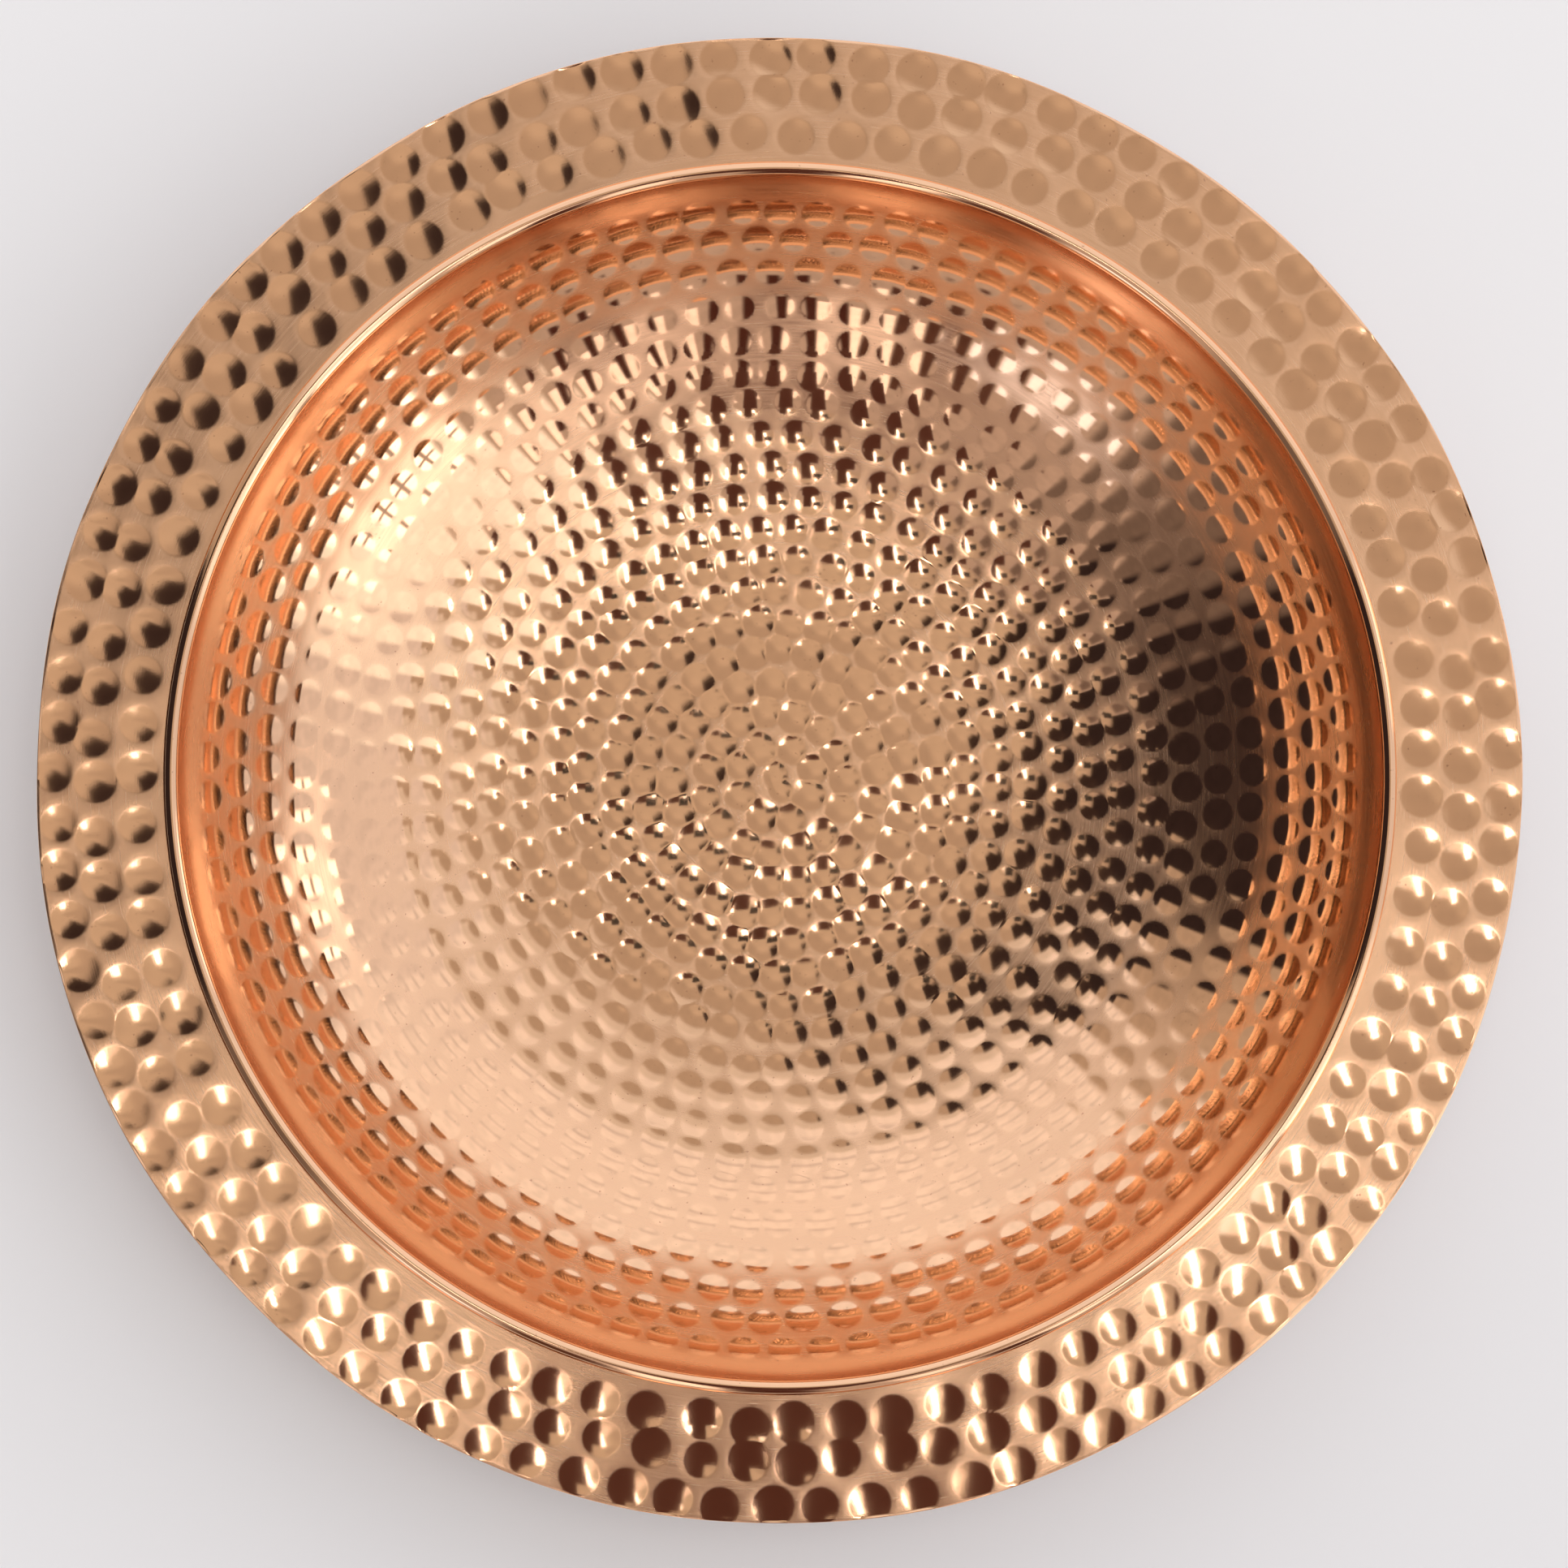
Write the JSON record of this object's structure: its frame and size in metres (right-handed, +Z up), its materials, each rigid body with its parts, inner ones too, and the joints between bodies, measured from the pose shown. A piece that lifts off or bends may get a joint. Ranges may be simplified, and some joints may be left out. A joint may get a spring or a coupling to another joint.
{
  "type": "hammered copper tray",
  "caption": "Round hammered copper tray: a dished well with a curved wall and a smooth rolled bead, set in a wide, nearly flat hammered flange.",
  "frame": {"origin": "centre of the flat underside that the tray rests on", "axes": "+Z up through the middle of the dish; the tray is round, so +X and +Y are any two directions square to each other"},
  "size_m": [0.4, 0.4, 0.0603],
  "materials": {
    "hammered_copper": "polished copper, hammered all over with small round dents",
    "copper_wire": "drawn copper wire, dull",
    "solder": "dull grey soft solder, slightly lumpy"
  },
  "bodies": {
    "root": {"dish": "hammered_copper", "flange": "hammered_copper", "bead_wire": "copper_wire", "solder_seam": "solder"}
  },
  "joints": []
}
